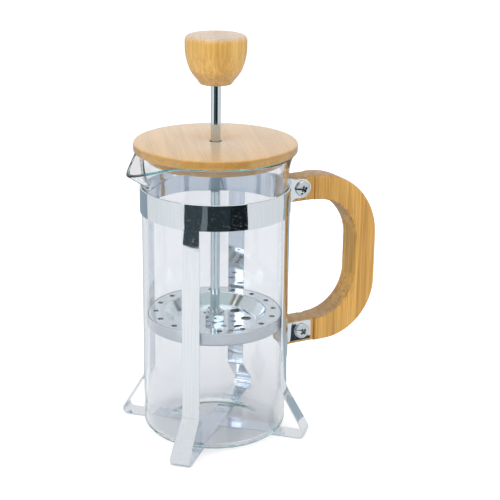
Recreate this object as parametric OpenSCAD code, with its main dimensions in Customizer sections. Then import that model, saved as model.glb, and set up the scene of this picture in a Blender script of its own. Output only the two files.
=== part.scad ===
// French press, 350 ml class: glass beaker in a sheet-steel stand with a wooden
// handle, wooden lid and knob, and a rod with a dished mesh filter.
// +Z up, +X towards the handle, origin on the floor under the beaker's axis.

/* [Beaker] */
// outside diameter of the straight glass wall
glass_d = 71.4; // [60:0.2:90]
// height of the beaker from its standing ring to the rim
glass_h = 142.6; // [110:0.2:180]
// thickness of the glass wall
glass_wall = 1.7; // [1.2:0.1:3]
// thickness of the glass floor
glass_floor = 2.2; // [1.5:0.1:5]
// outside radius of the round corner at the foot of the glass
glass_corner_r = 5; // [3:0.5:10]
// rise of the hollow under the glass floor
punt_rise = 1; // [0.6:0.1:3]
// how far the rim flares outside the straight wall
rim_flare = 2.6; // [0:0.1:4]
// height of the flared zone below the rim
rim_zone = 10; // [5:0.5:20]
// how far the tip of the spout stands out from the straight wall
spout_out = 11.1; // [7:0.1:18]
// how far the tip of the spout lies below the rim
spout_drop = 7.2; // [3:0.2:14]
// height of the spout's keel, from where it leaves the wall to its tip
spout_keel = 7.4; // [4:0.2:14]

/* [Stand] */
// thickness of the sheet steel of the stand
sheet_t = 0.7; // [0.5:0.05:1.5]
// gap between the glass and the stand
glass_gap = 0.3; // [0.3:0.05:1]
// height of the top band
band_h = 12.6; // [8:0.2:20]
// distance from the rim down to the top edge of the band
band_drop = 16.8; // [15.5:0.1:40]
// width of the leg straps
strap_w = 8.8; // [6:0.2:14]
// how far the feet of the lower strap stand out from the straight glass wall
low_foot_out = 13; // [8:0.1:24]
// height at which the legs of the lower strap start to lean outwards
low_flare_z = 24; // [12:0.5:40]
// how far the feet of the upper strap stand out from the straight glass wall
top_foot_out = 17; // [8:0.1:24]
// height at which the legs of the upper strap start to lean outwards
top_flare_z = 18.5; // [12:0.5:40]
// width of the straps at the tips of the feet
toe_w = 10; // [6:0.2:14]
// middle radius of the bend in a foot
foot_bend_r = 2.7; // [1.5:0.1:6]
// half length of the raised middle of the upper strap
joggle_half = 8; // [6:0.5:14]
// length of the slope at each end of the raised middle
joggle_run = 5; // [3:0.5:10]

/* [Handle brackets] */
// width of the handle tongue between the ears
tongue_w = 11.2; // [8:0.1:16]
// middle radius of the bend where band and brackets leave the glass
ear_bend_r = 6; // [3:0.5:10]
// height of the round upper ears
ear_h = 9.8; // [7:0.2:11.4]
// distance from the glass wall to the upper screw
upper_screw_out = 9.5; // [8:0.1:16]
// distance from the top edge of the band down to the upper screw
upper_screw_drop = 5.9; // [4:0.1:8]
// distance from the glass wall to the lower screw
lower_screw_out = 11.1; // [9:0.1:16]
// height of the lower screw above the floor
lower_screw_z = 44.7; // [30:0.1:80]
// height of the square lower ears
low_ear_h = 10.2; // [7:0.2:14]
// distance from the lower screw to the end of its ear
low_ear_lap = 5.4; // [4.6:0.1:8]

/* [Handle] */
// width of the handle across its flat sides
handle_w = 13.2; // [10:0.1:20]
// thickness of the handle in its own plane
handle_t = 12.4; // [8:0.1:16]
// distance from the glass wall to the middle of the grip
grip_out = 48.1; // [40:0.1:65]
// how far the handle's middle line lies below its screws
handle_drop = 0.7; // [0:0.1:1.5]
// inside radius of the upper handle corner
upper_corner_r = 24.5; // [12:0.5:36]
// inside radius of the lower handle corner
lower_corner_r = 22.5; // [12:0.5:36]
// outside radius of the upper handle corner
upper_outer_r = 35.5; // [18:0.5:42]
// outside radius of the lower handle corner
lower_outer_r = 29; // [18:0.5:42]
// radius of the handle's softened edges
handle_edge_r = 1.3; // [0.5:0.1:4]
// distance from the glass wall to the handle's ends
handle_gap = 3.3; // [2:0.1:6]
// distance from the end of the lower ears to the step of the rebates
rebate_gap = 1.2; // [0.5:0.1:3]

/* [Screws] */
// diameter of the screw shanks
screw_d = 3.9; // [3:0.1:5]
// diameter of the holes in the ears and the handle
screw_hole_d = 4.3; // [3.2:0.1:5.5]
// diameter of the pan heads
head_d = 7.8; // [6:0.1:9]
// height of the pan heads
head_h = 2.4; // [1.5:0.1:3.5]
// width across the flats of the nuts behind
nut_af = 7; // [6:0.1:8]
// thickness of the nuts behind
nut_h = 3.2; // [2:0.1:5]

/* [Lid] */
// how far the lid stands out past the rim
lid_overhang = 1.2; // [0:0.1:4]
// thickness of the lid above the rim
lid_t = 4.6; // [3:0.1:10]
// gap between the plug and the inside of the glass
plug_gap = 0.7; // [0.3:0.1:2]
// depth of the plug
plug_h = 4.4; // [2:0.1:12]
// gap between rim and lid
lid_gap = 0.3; // [0.3:0.05:1]
// diameter of the rod hole in the lid
lid_hole_d = 5.8; // [5:0.1:9]

/* [Plunger] */
// diameter of the rod
rod_d = 4.7; // [3:0.1:6]
// height of the knob's underside above the lid, as posed
knob_rise = 27.7; // [5:0.1:90]
// height of the knob
knob_h = 23.1; // [15:0.1:40]
// largest diameter of the knob
knob_d = 29.4; // [20:0.2:45]
// diameter of the knob's underside
knob_foot_d = 15.4; // [12:0.2:24]
// outside diameter of the threaded insert in the knob
insert_d = 7.6; // [6.4:0.1:10]
// depth of the threaded insert
insert_h = 13; // [8:0.5:16]
// height of the top face of the filter plate, as posed
plate_z = 62.3; // [50:0.1:90]
// gap between the filter's edge and the inside of the glass
filter_gap = 0.3; // [0.3:0.05:1]
// distance from the filter's edge in to the edge of its plate
plate_inset = 0.7; // [0.6:0.1:2]
// thickness of the filter plate
plate_t = 0.8; // [0.6:0.1:1.5]
// depth of the dish in the filter plate
dish_depth = 5.2; // [3:0.1:8]
// width of the flat rim of the plate round the dish
plate_rim = 7.3; // [6.2:0.1:10]
// width of the sloping side of the dish
dish_slope = 5; // [2:0.1:8]
// diameter of the small holes in the plate's rim
rim_hole_d = 2.8; // [1.5:0.1:3.4]
// thickness of the mesh
mesh_t = 0.35; // [0.3:0.05:0.8]
// distance from the filter's edge in to the edge of the bottom plate
bottom_plate_inset = 4.7; // [2:0.1:10]
// width across the flats of the hub nut
hub_af = 9; // [8:0.1:12]
// height of the hub nut
hub_h = 5; // [3:0.1:8]

/* [Hidden] */
$fn = 96;
eps = 0.01;
steel = [0.80, 0.81, 0.82];
bamboo = [0.82, 0.64, 0.40];

glass_r = glass_d / 2;
glass_z = sheet_t + glass_gap;
glass_in_r = glass_r - glass_wall;
rim_z = glass_z + glass_h;
rim_r = glass_r + rim_flare;
spout_reach = glass_r + spout_out;
flare_r = (rim_flare * rim_flare + rim_zone * rim_zone) / (2 * rim_flare);
spout_r = 5;
spout_tx = -rim_r * rim_r / spout_reach;
spout_ty = sqrt(rim_r * rim_r - spout_tx * spout_tx);
spout_a = atan2(spout_keel, spout_reach - glass_r);
spout_dip = atan2(spout_drop, spout_reach + spout_tx);
spout_u = (spout_reach + spout_tx) * sin(spout_a) + spout_drop * cos(spout_a) - spout_r;
spout_v = acos(spout_r / norm([spout_ty, spout_u])) - atan2(spout_u, spout_ty);

ring_in = glass_r + glass_gap;
ring_out = ring_in + sheet_t;
ring_mid = ring_in + sheet_t / 2;
band_top = rim_z - band_drop;
band_bottom = band_top - band_h;
upper_screw_x = glass_r + upper_screw_out;
upper_screw_z = band_top - upper_screw_drop;
lower_screw_x = glass_r + lower_screw_out;
low_ear_end = lower_screw_x + low_ear_lap;
grip_x = glass_r + grip_out;
handle_end_x = glass_r + handle_gap;
upper_bar_z = upper_screw_z - handle_drop;
lower_bar_z = lower_screw_z - handle_drop;
rebate_x = low_ear_end + rebate_gap;
ear_mid_y = tongue_w / 2 + sheet_t / 2;
ear_out_y = tongue_w / 2 + sheet_t;
bend_y = ear_mid_y + ear_bend_r;
bend_x = sqrt(pow(ring_mid + ear_bend_r, 2) - pow(bend_y, 2));
bend_az = atan2(bend_y, bend_x);
leg_edge_az = 45 - asin(strap_w / 2 / ring_mid);

upright_lap = 4;
foot_c = foot_bend_r + sheet_t / 2;

lid_z = rim_z + lid_gap;
lid_top = lid_z + lid_t;
lid_d = 2 * (rim_r + lid_overhang);
plug_d = 2 * (glass_in_r - plug_gap);
knob_z = lid_top + knob_rise;
knob_r = knob_d / 2;
mesh_d = 2 * (glass_in_r - filter_gap);
plate_d = mesh_d - 2 * plate_inset;
dish_d = plate_d - 2 * plate_rim;
dish_floor_d = dish_d - 2 * dish_slope;
bottom_plate_d = mesh_d - 2 * bottom_plate_inset;
dish_z = plate_z - dish_depth;
mesh_top = dish_z - plate_t;
mesh_bottom = mesh_top - mesh_t;
bottom_plate_z = mesh_bottom - plate_t;
end_nut_h = 3.2;
rod_bottom = bottom_plate_z - end_nut_h + 0.4;
rod_top = knob_z + insert_h - 0.6;

function arc_points(cx, cz, radius, from_a, to_a, steps) =
  [for (i = [0:steps]) let (a = from_a + (to_a - from_a) * i / steps)
    [cx + radius * cos(a), cz + radius * sin(a)]];

// side outline of one leg from its flare down round the foot and in along the floor
module leg_outline(inner, foot_x, flare_z) {
  half = sheet_t / 2;
  dx = foot_x - ring_mid;
  dz = flare_z - foot_c;
  lean = atan2(dx, dz) + asin(foot_bend_r / norm([dx, dz]));
  polygon(concat(
    [[ring_in, flare_z + upright_lap], [ring_in, flare_z]],
    arc_points(foot_x, foot_c, foot_bend_r - half, lean, -90, 12),
    [[inner, sheet_t], [inner, 0]],
    arc_points(foot_x, foot_c, foot_bend_r + half, -90, lean, 12),
    [[ring_out, flare_z + sheet_t * tan(lean / 2)], [ring_out, flare_z + upright_lap]]
  ));
}

// straight upper part of a leg, curved to the ring
module leg_upright(flare_z) {
  foot = flare_z + upright_lap - 1;
  intersection() {
    difference() {
      translate([0, 0, foot]) cylinder(r = ring_out, h = band_bottom - foot);
      cylinder(r = ring_in, h = band_bottom + 5);
    }
    translate([20, -strap_w / 2, 0]) cube([40, strap_w, band_bottom + 5]);
  }
}

// two opposite legs; the strip widens from the ring to the tip of each foot
module leg_pair(inner, foot_out, flare_z) {
  reach = glass_r + foot_out;
  for (side = [0, 180]) rotate([0, 0, side]) {
    leg_upright(flare_z);
    intersection() {
      rotate([90, 0, 0]) linear_extrude(20, center = true)
        leg_outline(inner, reach - foot_c, flare_z);
      translate([0, 0, -1]) linear_extrude(flare_z + upright_lap + 2) polygon([
        [-1, -strap_w / 2], [ring_out + eps, -strap_w / 2], [reach + 1, -toe_w / 2],
        [reach + 1, toe_w / 2], [ring_out + eps, strap_w / 2], [-1, strap_w / 2]
      ]);
    }
  }
}

module leg_strap_a() {
  color(steel) rotate([0, 0, -45]) leg_pair(-eps, low_foot_out, low_flare_z);
}

module leg_strap_b() {
  t = sheet_t;
  far = joggle_half + joggle_run;
  color(steel) rotate([0, 0, 45]) {
    leg_pair(far, top_foot_out, top_flare_z);
    rotate([90, 0, 0]) linear_extrude(strap_w, center = true) polygon([
      [-far - 1, 0], [-far, 0], [-joggle_half, t], [joggle_half, t], [far, 0], [far + 1, 0],
      [far + 1, t], [far, t], [joggle_half, 2 * t], [-joggle_half, 2 * t], [-far, t], [-far - 1, t]
    ]);
  }
}

// plan outline of a strip that hugs the glass from one azimuth and turns out into an ear
module ear_plan(from_az, ear_end) {
  intersection() {
    difference() {
      circle(r = ring_out);
      circle(r = ring_in);
    }
    polygon([
      [0, 0],
      [60 * cos(bend_az), -60 * sin(bend_az)],
      [60 * cos(from_az), -60 * sin(from_az)]
    ]);
  }
  intersection() {
    translate([bend_x, -bend_y]) difference() {
      circle(r = ear_bend_r + sheet_t / 2);
      circle(r = ear_bend_r - sheet_t / 2);
    }
    polygon([[bend_x, -bend_y], [bend_x, 0], [0, 0]]);
  }
  translate([bend_x - eps, -ear_out_y]) square([ear_end - bend_x + eps, sheet_t]);
}

module front_half_band() {
  difference() {
    union() {
      translate([0, 0, band_bottom]) linear_extrude(band_h)
        ear_plan(60, bend_x + 0.5);
      intersection() {
        translate([0, 0, band_bottom]) linear_extrude(band_h)
          ear_plan(30, upper_screw_x + ear_h);
        union() {
          translate([30, -20, upper_screw_z - ear_h / 2])
            cube([upper_screw_x - 30, 20, ear_h]);
          translate([upper_screw_x, 0, upper_screw_z])
            rotate([90, 0, 0]) cylinder(d = ear_h, h = 20);
        }
      }
    }
    translate([upper_screw_x, 0, upper_screw_z])
      rotate([90, 0, 0]) cylinder(d = screw_hole_d, h = 20);
  }
}

module top_band() {
  color(steel) {
    front_half_band();
    mirror([0, 1, 0]) front_half_band();
    translate([0, 0, band_bottom]) difference() {
      cylinder(r = ring_out, h = band_h);
      translate([0, 0, -1]) cylinder(r = ring_in, h = band_h + 2);
      translate([ring_out * cos(50), -50, -1]) cube([50, 100, band_h + 2]);
    }
  }
}

module lower_bracket_front() {
  color(steel) difference() {
    translate([0, 0, lower_screw_z - low_ear_h / 2])
      linear_extrude(low_ear_h) ear_plan(leg_edge_az, low_ear_end);
    translate([lower_screw_x, 0, lower_screw_z])
      rotate([90, 0, 0]) cylinder(d = screw_hole_d, h = 20);
  }
}

module lower_bracket_rear() {
  mirror([0, 1, 0]) lower_bracket_front();
}

// one half of the handle's cross-section, its softened edges on the far side of the first axis
module half_section() {
  deep = handle_t * 0.72;
  w = handle_w / 2 - handle_edge_r;
  t = handle_t / 2 - handle_edge_r;
  translate([handle_t / 2 - deep, -w]) square([deep, 2 * w]);
  translate([handle_t / 2 - deep, -handle_w / 2]) square([deep - handle_edge_r, handle_w]);
  for (j = [-1, 1]) translate([t, j * w]) circle(r = handle_edge_r, $fn = 32);
}

// outer or inner half of the bent bar, from one free end round both corners to the other
module handle_half(side, upper_r, lower_r) {
  edge = side * handle_t / 2;
  upper_cx = grip_x + edge - upper_r;
  upper_cz = upper_bar_z + edge - upper_r;
  lower_cx = grip_x + edge - lower_r;
  lower_cz = lower_bar_z - edge + lower_r;
  translate([upper_cx, 0, upper_cz]) rotate([90, 0, 0])
    rotate_extrude(angle = 90) translate([upper_r - edge, 0]) turn_to(side) half_section();
  translate([lower_cx, 0, lower_cz]) rotate([90, 0, 0]) rotate([0, 0, -90])
    rotate_extrude(angle = 90) translate([lower_r - edge, 0]) turn_to(side) half_section();
  translate([grip_x, 0, lower_cz]) linear_extrude(upper_cz - lower_cz)
    turn_to(side) half_section();
  translate([handle_end_x, 0, upper_bar_z]) rotate([0, 90, 0])
    linear_extrude(upper_cx - handle_end_x) turn_to(-side) half_section();
  translate([handle_end_x, 0, lower_bar_z]) rotate([0, 90, 0])
    linear_extrude(lower_cx - handle_end_x) turn_to(side) half_section();
}

module turn_to(side) {
  rotate([0, 0, side > 0 ? 0 : 180]) children();
}

module handle() {
  color(bamboo) difference() {
    union() {
      handle_half(1, upper_outer_r, lower_outer_r);
      handle_half(-1, upper_corner_r, lower_corner_r);
    }
    for (z = [upper_screw_z, lower_screw_z], side = [-1, 1])
      translate([0, side * (tongue_w / 2 + 5) - 5, z - 10]) cube([rebate_x, 10, 20]);
    translate([upper_screw_x, 0, upper_screw_z])
      rotate([90, 0, 0]) cylinder(d = screw_hole_d, h = 30, center = true);
    translate([lower_screw_x, 0, lower_screw_z])
      rotate([90, 0, 0]) cylinder(d = screw_hole_d, h = 30, center = true);
  }
}

// pan-head screw along +Y, its head outside the front ear
module screw_body(x, z) {
  dome_r = (pow(head_d / 2, 2) + pow(head_h * 0.6, 2)) / (2 * head_h * 0.6);
  translate([x, -ear_out_y, z]) rotate([-90, 0, 0]) {
    translate([0, 0, -head_h]) difference() {
      intersection() {
        cylinder(d = head_d, h = head_h, $fn = 48);
        translate([0, 0, dome_r]) sphere(r = dome_r, $fn = 64);
      }
      for (a = [0, 90]) rotate([0, 0, a + 20])
        translate([-2.3, -0.45, -1]) cube([4.6, 0.9, 2.2]);
    }
    translate([0, 0, -eps]) cylinder(d = screw_d, h = 2 * ear_out_y + nut_h * 0.8, $fn = 32);
  }
}

module nut_body(x, z) {
  translate([x, ear_out_y, z]) rotate([-90, 30, 0]) difference() {
    intersection() {
      cylinder(d = nut_af / cos(30), h = nut_h, $fn = 6);
      translate([0, 0, -1.4]) sphere(r = nut_af / 2 + 1.7, $fn = 64);
    }
    translate([0, 0, -1]) cylinder(d = screw_d + 0.1, h = nut_h + 2, $fn = 32);
  }
}

module upper_screw() {
  color(steel) screw_body(upper_screw_x, upper_screw_z);
}

module upper_nut() {
  color(steel) nut_body(upper_screw_x, upper_screw_z);
}

module lower_screw() {
  color(steel) screw_body(lower_screw_x, lower_screw_z);
}

module lower_nut() {
  color(steel) nut_body(lower_screw_x, lower_screw_z);
}

// half outline of the beaker's outside, or of its hollow when inset by the wall
module beaker_outline(inset, base) {
  r = glass_r - inset;
  c = glass_corner_r - inset;
  neck = glass_h - rim_zone;
  square([r - c, glass_h]);
  translate([0, base + c]) square([r, neck - base - c]);
  translate([r - c, base + c]) circle(r = c, $fn = 48);
  translate([0, neck]) difference() {
    square([glass_r + rim_flare, rim_zone]);
    translate([glass_r + flare_r, 0]) circle(r = flare_r + inset, $fn = 128);
  }
}

module beaker_turned() {
  rotate_extrude($fn = 72) difference() {
    intersection() {
      beaker_outline(0, 0);
      square([glass_d, glass_h]);
    }
    translate([0, glass_floor]) intersection() {
      translate([0, -glass_floor]) beaker_outline(glass_wall, glass_floor);
      square([glass_d, glass_h]);
    }
    polygon([
      [-1, -1], [glass_r - 9, -1], [glass_r - 9, 0], [glass_r - 15, punt_rise], [-1, punt_rise]
    ]);
  }
}

// hollow of the turned beaker above its neck, grown by a little at the rim
module mouth_hollow() {
  rotate_extrude($fn = 72) {
    translate([0, glass_h - 30]) square([glass_in_r, 30 - rim_zone + eps]);
    translate([0, glass_h - rim_zone]) difference() {
      square([glass_r + rim_flare, rim_zone + 1]);
      translate([glass_r + flare_r, 0]) circle(r = flare_r + glass_wall, $fn = 128);
    }
  }
}

// trough of the spout along its keel, as a solid with a round bottom
module spout_solid(radius) {
  reach = 40;
  translate([-spout_reach, 0, glass_h - spout_drop])
    rotate([0, spout_a, 0]) rotate([90, 0, 90])
      translate([0, 0, -8]) linear_extrude(30) {
        translate([0, spout_r]) circle(r = radius);
        polygon([
          [radius * cos(spout_v), spout_r - radius * sin(spout_v)],
          [radius * cos(spout_v) + reach * sin(spout_v),
            spout_r - radius * sin(spout_v) + reach * cos(spout_v)],
          [-radius * cos(spout_v) - reach * sin(spout_v),
            spout_r - radius * sin(spout_v) + reach * cos(spout_v)],
          [-radius * cos(spout_v), spout_r - radius * sin(spout_v)]
        ]);
      }
}

// zone of the beaker in which the spout is worked, up to a distance from the axis
module spout_zone(limit_x) {
  translate([-70, -40, glass_h - 35]) cube([70 + limit_x, 80, 50]);
}

module glass_beaker() {
  color([0.80, 0.88, 0.90, 0.4]) translate([0, 0, glass_z]) difference() {
    union() {
      beaker_turned();
      difference() {
        intersection() {
          spout_solid(spout_r + 0.2);
          spout_zone(spout_tx + 3);
        }
        mouth_hollow();
      }
    }
    intersection() {
      spout_solid(spout_r - glass_wall - 0.4);
      spout_zone(spout_tx - 1.5);
    }
    translate([spout_tx + 0.6, 0, glass_h]) rotate([0, -spout_dip, 0])
      translate([-60, -60, 0]) cube([120, 120, 40]);
    translate([-60, -60, glass_h - 2 * eps]) cube([120, 120, 40]);
  }
}

module lid() {
  edge = 1.3;
  color(bamboo) rotate_extrude() difference() {
    union() {
      translate([0, lid_z]) square([lid_d / 2 - edge, lid_t]);
      translate([0, lid_z + edge / 2]) square([lid_d / 2, lid_t - edge * 1.5]);
      translate([lid_d / 2 - edge, lid_top - edge]) circle(r = edge, $fn = 32);
      translate([lid_d / 2 - edge, lid_z]) square([edge / 2, lid_t - edge]);
      translate([0, lid_z - plug_h]) square([plug_d / 2, plug_h + eps]);
    }
    square([lid_hole_d / 2, lid_top + 5]);
  }
}

module knob() {
  edge = 2.4;
  color(bamboo) translate([0, 0, knob_z]) rotate_extrude() difference() {
    union() {
      polygon([
        [0, 0], [knob_foot_d / 2 - 0.5, 0], [knob_foot_d / 2, 0.5],
        [knob_r * 0.79, knob_h * 0.24], [knob_r * 0.88, knob_h * 0.36],
        [knob_r * 0.94, knob_h * 0.48], [knob_r * 0.98, knob_h * 0.60],
        [knob_r, knob_h * 0.72], [knob_r, knob_h - edge], [0, knob_h - edge]
      ]);
      translate([0, knob_h - edge - eps]) square([knob_r - edge, edge + eps]);
      translate([knob_r - edge, knob_h - edge]) circle(r = edge, $fn = 48);
    }
    translate([-1, -1]) square([insert_d / 2 + 1, insert_h + 1.2]);
  }
}

module knob_insert() {
  color(steel) translate([0, 0, knob_z]) difference() {
    cylinder(d = insert_d, h = insert_h);
    translate([0, 0, -1]) cylinder(d = rod_d, h = insert_h - 0.6 + 1);
  }
}

module plunger_rod() {
  color(steel) translate([0, 0, rod_bottom]) cylinder(d = rod_d, h = rod_top - rod_bottom);
}

module hub_nut() {
  color(steel) translate([0, 0, dish_z]) difference() {
    union() {
      cylinder(d = hub_af / cos(30), h = hub_h - 1, $fn = 6);
      cylinder(d = hub_af - 1, h = hub_h);
    }
    translate([0, 0, -1]) cylinder(d = rod_d, h = hub_h + 2);
  }
}

module filter_plate() {
  color(steel) difference() {
    rotate_extrude() polygon([
      [rod_d / 2, dish_z - plate_t], [dish_floor_d / 2, dish_z - plate_t],
      [dish_d / 2 + 0.25, plate_z - plate_t], [plate_d / 2, plate_z - plate_t],
      [plate_d / 2, plate_z], [dish_d / 2, plate_z],
      [dish_floor_d / 2 - 0.3, dish_z], [rod_d / 2, dish_z]
    ]);
    for (i = [0:15]) rotate([0, 0, i * 22.5])
      translate([plate_d / 4 + dish_d / 4, 0, plate_z - 2]) cylinder(d = rim_hole_d, h = 4, $fn = 24);
    for (i = [0:7]) rotate([0, 0, i * 45]) {
      translate([dish_floor_d * 0.24, 0, dish_z - 2]) cylinder(d = 2.7, h = 4, $fn = 24);
      rotate([0, 0, 22.5]) translate([dish_floor_d * 0.377, 0, dish_z - 2])
        cylinder(d = 5, h = 4, $fn = 32);
    }
  }
}

module edge_spring() {
  spring_r = (plate_z - plate_t - mesh_top) / 2 - 0.05;
  color(steel) rotate_extrude()
    translate([mesh_d / 2 - mesh_t - spring_r - 0.2, mesh_top + spring_r + 0.05])
      circle(r = spring_r, $fn = 48);
}

module filter_mesh() {
  color([0.62, 0.64, 0.66]) rotate_extrude() {
    translate([rod_d / 2, mesh_bottom]) square([mesh_d / 2 - rod_d / 2, mesh_t]);
    translate([mesh_d / 2 - mesh_t, mesh_bottom]) square([mesh_t, plate_z - mesh_bottom]);
  }
}

module bottom_plate() {
  color(steel) translate([0, 0, bottom_plate_z]) difference() {
    cylinder(d = bottom_plate_d, h = plate_t);
    translate([0, 0, -1]) cylinder(d = rod_d, h = 4);
    for (i = [0:5]) rotate([0, 0, i * 60]) {
      translate([bottom_plate_d * 0.2, 0, -1]) cylinder(d = 7.6, h = 4, $fn = 48);
      rotate([0, 0, 30]) translate([bottom_plate_d * 0.36, 0, -1]) cylinder(d = 9, h = 4, $fn = 48);
    }
  }
}

module end_nut() {
  color(steel) translate([0, 0, bottom_plate_z - end_nut_h]) difference() {
    cylinder(d = 8 / cos(30), h = end_nut_h, $fn = 6);
    translate([0, 0, 0.4]) cylinder(d = rod_d, h = end_nut_h);
  }
}

top_band();
leg_strap_a();
leg_strap_b();
lower_bracket_front();
lower_bracket_rear();
handle();
upper_screw();
upper_nut();
lower_screw();
lower_nut();
glass_beaker();
lid();
knob();
knob_insert();
plunger_rod();
hub_nut();
filter_plate();
edge_spring();
filter_mesh();
bottom_plate();
end_nut();
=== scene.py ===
"""French press: a beaker in a sheet-steel stand, bamboo handle and lid, rod and mesh filter.

Shapes are in millimetres in the row frame (+X towards the handle, +Z up), stored in metres.
"""

from math import asin, atan2, cos, degrees, hypot, pi, radians, sin, sqrt, tan

import bmesh
import bpy
from mathutils import Matrix, Vector


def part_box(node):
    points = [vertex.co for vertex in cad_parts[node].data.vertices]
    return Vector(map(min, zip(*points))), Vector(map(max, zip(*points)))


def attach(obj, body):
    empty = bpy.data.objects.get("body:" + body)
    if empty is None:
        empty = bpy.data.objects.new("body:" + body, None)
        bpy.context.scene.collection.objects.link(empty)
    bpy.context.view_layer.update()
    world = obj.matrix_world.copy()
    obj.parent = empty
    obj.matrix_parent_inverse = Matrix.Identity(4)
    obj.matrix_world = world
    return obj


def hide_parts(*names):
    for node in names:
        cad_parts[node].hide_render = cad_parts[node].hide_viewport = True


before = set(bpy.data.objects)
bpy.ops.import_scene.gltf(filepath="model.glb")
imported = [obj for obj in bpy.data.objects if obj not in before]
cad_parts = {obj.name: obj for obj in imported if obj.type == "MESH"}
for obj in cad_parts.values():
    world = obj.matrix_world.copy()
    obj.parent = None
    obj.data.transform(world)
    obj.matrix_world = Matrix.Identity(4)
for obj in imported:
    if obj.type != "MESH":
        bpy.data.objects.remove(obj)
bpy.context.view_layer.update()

MM = 0.001
TAU = 2 * pi


def box_mm(node):
    """Lowest and highest corner of a CAD node, in millimetres."""
    low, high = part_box(node)
    return low / MM, high / MM


# ---------------- sizes, in millimetres

glass_low, glass_high = box_mm("glass_beaker")
band_low, band_high = box_mm("top_band")
filter_low, filter_high = box_mm("filter_mesh")
plate_low, plate_high = box_mm("filter_plate")
bottom_low, bottom_high = box_mm("bottom_plate")
lid_low, lid_high = box_mm("lid")
knob_low, knob_high = box_mm("knob")
rod_low, rod_high = box_mm("plunger_rod")
handle_low, handle_high = box_mm("handle")
front_ear_low, front_ear_high = box_mm("lower_bracket_front")

SHEET = 0.7
RING = -band_low.x - SHEET / 2
GLASS_R = RING - 0.65
GLASS_WALL = 1.7
RIM_Z = glass_high.z
FLARE_OUT, FLARE_H = 2.6, 10.0
RIM_R = GLASS_R + FLARE_OUT
SPOUT_REACH = -glass_low.x
EAR_Y = 5.95
BEND_R = 6.0
BEND_Y = EAR_Y + BEND_R
BEND_X = sqrt((RING + BEND_R) ** 2 - BEND_Y**2)
EAR_FACE = EAR_Y + SHEET / 2
UPPER_SCREW = (GLASS_R + 9.5, 120.9)
LOWER_SCREW = (GLASS_R + 11.1, 44.7)
STRAP_W, TOE_W = 8.8, 10.0
INSERT_R = 3.8
PLATE_T = 0.8
CLOTH_T = 0.35
ROD_R = rod_high.x


# ---------------- mesh making

def closed_mesh(name, points, faces, sharp=32.0):
    """A closed object from points in millimetres, smooth but for its sharp edges."""
    mesh = bpy.data.meshes.new(name)
    mesh.from_pydata([Vector(p) * MM for p in points], [], faces)
    work = bmesh.new()
    work.from_mesh(mesh)
    bmesh.ops.remove_doubles(work, verts=work.verts, dist=1e-7)
    bmesh.ops.recalc_face_normals(work, faces=work.faces)
    work.to_mesh(mesh)
    work.free()
    smooth(mesh, sharp)
    return placed(name, mesh)


def placed(name, data):
    """A new object in the scene from its mesh, lamp or camera."""
    made = bpy.data.objects.new(name, data)
    bpy.context.scene.collection.objects.link(made)
    return made


def smooth(mesh, sharp):
    mesh.shade_smooth()
    mesh.set_sharp_from_angle(angle=radians(sharp))


def eased(corners, steps=5):
    """Outline through corners (across, up, radius), each corner rounded to its radius."""
    outline = []
    for i, (x, y, radius) in enumerate(corners):
        here = Vector((x, y))
        if radius <= 0:
            outline.append((x, y))
            continue
        back = (Vector(corners[i - 1][:2]) - here).normalized()
        ahead = (Vector(corners[(i + 1) % len(corners)][:2]) - here).normalized()
        half = back.angle(ahead) / 2
        centre = here + (back + ahead).normalized() * (radius / sin(half))
        first = here + back * (radius / tan(half)) - centre
        last = here + ahead * (radius / tan(half)) - centre
        a = atan2(first.y, first.x)
        turn = (atan2(last.y, last.x) - a + pi) % TAU - pi
        for k in range(steps + 1):
            t = a + turn * k / steps
            outline.append((centre.x + radius * cos(t), centre.y + radius * sin(t)))
    return outline


def bridge(a, b):
    """Faces between two rings of point numbers; a ring of one point is a pole."""
    count = max(len(a), len(b))
    faces = []
    for i in range(count):
        j = (i + 1) % count
        face = [a[i % len(a)], a[j % len(a)], b[j % len(b)], b[i % len(b)]]
        faces.append([p for k, p in enumerate(face) if p not in face[:k]])
    return faces


def joined(rows):
    """Points, rings of point numbers, and the faces between each row and the next."""
    points, rings = [], []
    for row in rows:
        rings.append(list(range(len(points), len(points) + len(row))))
        points += row
    return points, rings, [face for a, b in zip(rings, rings[1:]) for face in bridge(a, b)]


def turned(name, outline, segments=128, sharp=32.0):
    """A turned piece from (radius, height): a closed loop, or a line from axis to axis."""
    rows = []
    for radius, height in outline:
        count = segments if radius > 1e-6 else 1
        bearings = [TAU * i / count for i in range(count)]
        rows.append([(radius * cos(t), radius * sin(t), height) for t in bearings])
    points, rings, faces = joined(rows)
    if outline[0][0] > 1e-6:
        faces += bridge(rings[-1], rings[0])
    return closed_mesh(name, points, faces, sharp)


def lofted(name, sections, sharp=32.0):
    """A piece through sections of equal point counts, its two ends closed."""
    points, rings, faces = joined(sections)
    return closed_mesh(name, points, faces + [rings[0][::-1], rings[-1]], sharp)


def sheet_section(centre, across, out, low, high, crown=0.0, steps=6):
    """Section of a steel strip: flat or crowned between low and high, with tiny soft edges."""
    soft, half = 0.13, SHEET / 2
    widths = [low + soft + (high - low - 2 * soft) * i / steps for i in range(steps + 1)]
    ring = [(w, half - crown * w * w / 2) for w in widths]
    tip, foot = -crown * high * high / 2, -crown * low * low / 2
    ring += [(high, tip + half - soft), (high, tip - half + soft)]
    ring += [(w, -half - crown * w * w / 2) for w in reversed(widths)]
    ring += [(low, foot - half + soft), (low, foot + half - soft)]
    return [centre + across * w + out * n for w, n in ring]


# ---------------- the stand

UP = Vector((0, 0, 1))


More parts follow.
